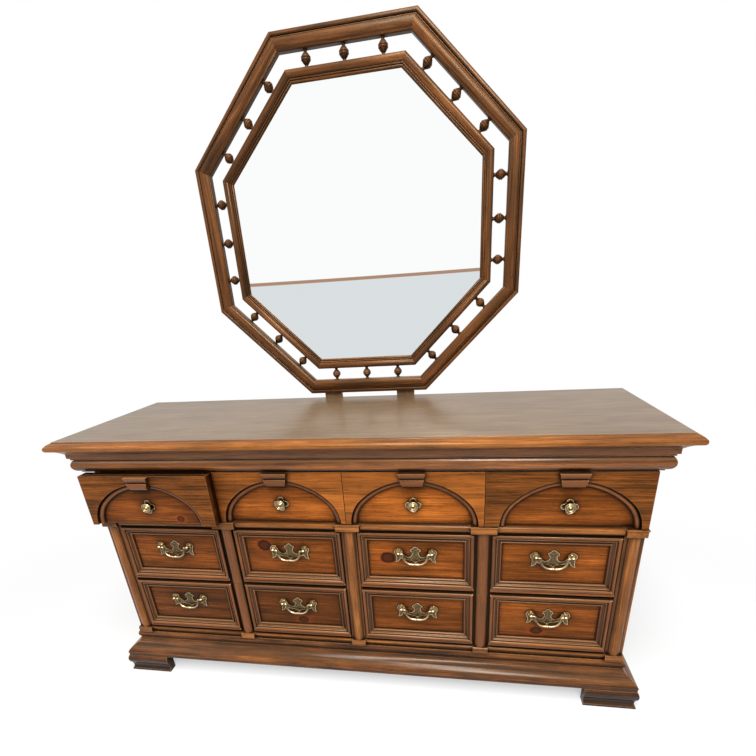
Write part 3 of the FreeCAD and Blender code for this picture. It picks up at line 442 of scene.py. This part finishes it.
def dress(node, body, finishes):
    """Copies a CAD node, with softened edges, its finishes, and a grain and a tone for each solid."""
    source = frame["nodes"][node]
    bm = bmesh.new()
    bm.from_mesh(source.data)
    bmesh.ops.remove_doubles(bm, verts=bm.verts, dist=WELD)
    bmesh.ops.dissolve_limit(bm, angle_limit=FLAT_ANGLE, verts=bm.verts, edges=bm.edges)
    grain = bm.loops.layers.float_vector.new("grain")
    tone = bm.loops.layers.float.new("tone")
    random = np.random.default_rng(sum(ord(letter) * (k + 1) for k, letter in enumerate(node)))
    for group in solids(bm):
        corners = [corner for face in group for corner in face.loops]
        points = np.array([corner.vert.co for corner in corners])
        offset = random.uniform(-GRAIN_SPREAD, GRAIN_SPREAD, 3)
        # random darkness for each solid, plus the piece's own, which carries painted shade
        shade = random.uniform(-TONE_SPREAD, TONE_SPREAD) + PIECE_TONES.get(node, 0.0)
        arched = node in BOARD_TONES and np.ptp(points[:, 1]) < ARCHED_BOARD_T
        if node in BOARD_TONES:
            shade = BOARD_TONES[node][0 if arched else 1]
        for corner, local in zip(corners, (points - points.mean(0)) @ grain_axes(points).T + offset):
            corner[grain] = local
            corner[tone] = shade
        for face in group:
            face.material_index = 1 if arched else 0
            face.smooth = True
    seams = [index for index, edge in enumerate(bm.edges) if len(edge.link_faces) != 2]
    mesh = bpy.data.meshes.new(node + "_dressed")
    bm.to_mesh(mesh)
    bm.free()
    mesh.set_sharp_from_angle(angle=SHARP_ANGLE)
    for index in seams:    # shading mustn't run from one solid into the next
        mesh.edges[index].use_edge_sharp = True
    piece = bpy.data.objects.new(node + "_dressed", mesh)
    bpy.context.scene.collection.objects.link(piece)
    for finish in finishes:
        mesh.materials.append(finish)
    bevel = piece.modifiers.new("soft_edges", "BEVEL")
    bevel.width = EDGE_SOFTNESS
    bevel.segments = 2
    bevel.limit_method = "ANGLE"
    bevel.angle_limit = SHARP_ANGLE
    bevel.harden_normals = True
    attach(piece, body)
    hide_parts(node)


def dress_all(by_slot, by_node):
    """Dresses every node of every body, with its own finishes or else those of its slot."""
    slots = {entry["node"]: entry["material_slot"] for entry in frame["record"]["subparts"]}
    for body, members in frame["record"]["behaviour"]["bodies"].items():
        for node in members:
            dress(node, body, by_node.get(node, by_slot[slots[node]]))


# ---- stage ---------------------------------------------------------------------------------------
FLOOR_REACH = 60.0
PALE_FLOOR = (0.9, 0.9, 0.9, 1)
CARPET = colour(222, 227, 229)
SKIRTING = colour(176, 140, 118)
CARPET_EDGE = 0.030       # heights in the room that the mirror sees: z of a direction of length 1
SKIRTING_HEIGHT = 0.0335
SKIRTING_HALF = 0.003     # half its thickness
SKY_LIGHT = 0.5           # how bright the white room is as a light; what the eye sees is 1


def add_floor():
    """Plain pale floor that turns white away from the case and keeps its soft shadow."""
    mesh = bpy.data.meshes.new("floor")
    signs = ((-1, -1), (1, -1), (1, 1), (-1, 1))
    mesh.from_pydata([(x * FLOOR_REACH, y * FLOOR_REACH, 0) for x, y in signs], [], [(0, 1, 2, 3)])
    floor = bpy.data.objects.new("floor", mesh)
    bpy.context.scene.collection.objects.link(floor)
    f = new_finish("white_floor")
    away = f.length(f.vector("MULTIPLY", f.place(), (0.62, 1.0, 1.0)))
    shown, mirrored = f.seen_by("camera"), f.seen_by("glossy")
    white = f.steps(away, 0.5, 1.5, 0.5, 1.0) * shown + f.steps(away, 1.5, 3.5) * mirrored
    plain = f.node("ShaderNodeBsdfDiffuse", {}, {"Color": PALE_FLOOR})
    tint = f.mix(mirrored, WHITE, CARPET)
    bright = f.node("ShaderNodeEmission", {}, {"Color": tint, "Strength": 1.0})
    both = f.node("ShaderNodeMixShader", {}, {0: white, 1: plain, 2: bright})
    f.node("ShaderNodeOutputMaterial", {}, {"Surface": both})
    mesh.materials.append(f.holder)


def add_world():
    """White backdrop, and a plain room for the mirror: pale wall with a thin brown skirting."""
    world = bpy.data.worlds.new("studio")
    bpy.context.scene.world = world
    f = Finish(world)
    shown, mirrored = f.seen_by("camera"), f.seen_by("glossy")
    direction = f.node("ShaderNodeTexCoord", {}, output=0)
    height = f.height_of(direction)
    carpet = f.steps(height, CARPET_EDGE, CARPET_EDGE + 0.001, 1.0, 0.0) * mirrored
    beside = abs(height - SKIRTING_HEIGHT)
    skirting = f.steps(beside, SKIRTING_HALF - 0.0005, SKIRTING_HALF + 0.0005, 1.0, 0.0) * mirrored
    tint = f.mix(skirting, f.mix(carpet, WHITE, CARPET), SKIRTING)
    strength = f.steps(shown.at_least(mirrored), 0.0, 1.0, SKY_LIGHT, 1.0)
    background = f.node("ShaderNodeBackground", {}, {"Color": tint, "Strength": strength})
    f.node("ShaderNodeOutputWorld", {}, {"Surface": background})


def add_lamp(name, place, aim, size, power):
    light = bpy.data.lights.new(name, "AREA")
    light.energy = power
    light.shape = "RECTANGLE"
    light.size, light.size_y = size
    lamp = bpy.data.objects.new(name, light)
    lamp.location = place
    lamp.rotation_euler = (Vector(aim) - Vector(place)).to_track_quat("-Z", "Y").to_euler()
    bpy.context.scene.collection.objects.link(lamp)


# knots in the drawer fronts: centre, radii, strength
KNOTS = (
    ((-0.5007, -0.239, 0.6046), (0.012, 0.05, 0.010), 0.8),
    ((-0.2701, -0.202, 0.4993), (0.022, 0.03, 0.019), 1.0),
    ((0.1102, -0.202, 0.4691), (0.023, 0.03, 0.019), 1.0),
    ((-0.1816, -0.202, 0.2244), (0.018, 0.03, 0.012), 0.9),
    ((0.5434, -0.202, 0.2305), (0.019, 0.03, 0.013), 0.9),
)

case_pine = pine("case_pine", CASE_PINE, contrast=0.95, burnish=0.7, gloss=0.24, coat=0.14)
cornice_pine = pine("cornice_pine", CASE_PINE, contrast=0.8, gloss=0.16, coat=0.5, rubbed=0.42)
plinth_pine = pine("plinth_pine", CASE_PINE, contrast=1.1, burnish=0.7, gloss=0.1, coat=0.3, rubbed=0.06)
moulding_pine = pine(
    "moulding_pine", MOULDING_PINE, contrast=0.6, gloss=0.3, coat=0.26, quirk_from=0.6, wear=1.0, rubbed=0.3
)
panel_pine = pine("panel_pine", PANEL_PINE, KNOTS, contrast=0.8, burnish=1.0, gloss=0.14, coat=0.02)
arched_pine = pine("arched_pine", ARCHED_PINE, contrast=0.85, gloss=0.14, coat=0.02)
frame_pine = pine("frame_pine", FRAME_PINE, contrast=1.05, glaze=0.9, wear=0.2, rubbed=0.12)
by_node = {node: [frame_pine] for node in ("mirror_outer_frame", "mirror_inner_frame", "gallery_spindles")}
by_node.update({"cornice": [cornice_pine], "plinth": [plinth_pine], "feet": [plinth_pine]})
by_node.update({node: [moulding_pine] for node in frame["nodes"] if node.endswith("_trim")})

add_camera()
dress_all({
    "case_wood": [case_pine],
    "front_wood": [panel_pine, arched_pine],
    "top_wood": [slab_pine()],
    "drawer_wood": [raw_wood("drawer_wood", colour(198, 162, 114), colour(156, 118, 74))],
    "inner_wood": [raw_wood("inner_wood", colour(134, 98, 62), colour(92, 62, 36))],
    "board": [raw_wood("backboard", colour(142, 106, 72), colour(108, 78, 50))],
    "brass": [aged_brass()],
    "mirror": [silvered_glass()],
    "steel": [zinc()],
}, by_node)
add_floor()
add_world()
add_lamp("key_light", (0.7, -2.6, 2.9), (0.05, 0, 0.4), (0.9, 0.9), 68)
add_lamp("ceiling_light", (0.2, -1.5, 3.2), (0.05, -0.1, 0.6), (0.8, 1.6), 76)
add_lamp("fill_light", (-2.4, -2.0, 2.4), (0, 0, 0.5), (1.0, 1.0), 8)
bpy.context.scene.view_settings.view_transform = "Standard"
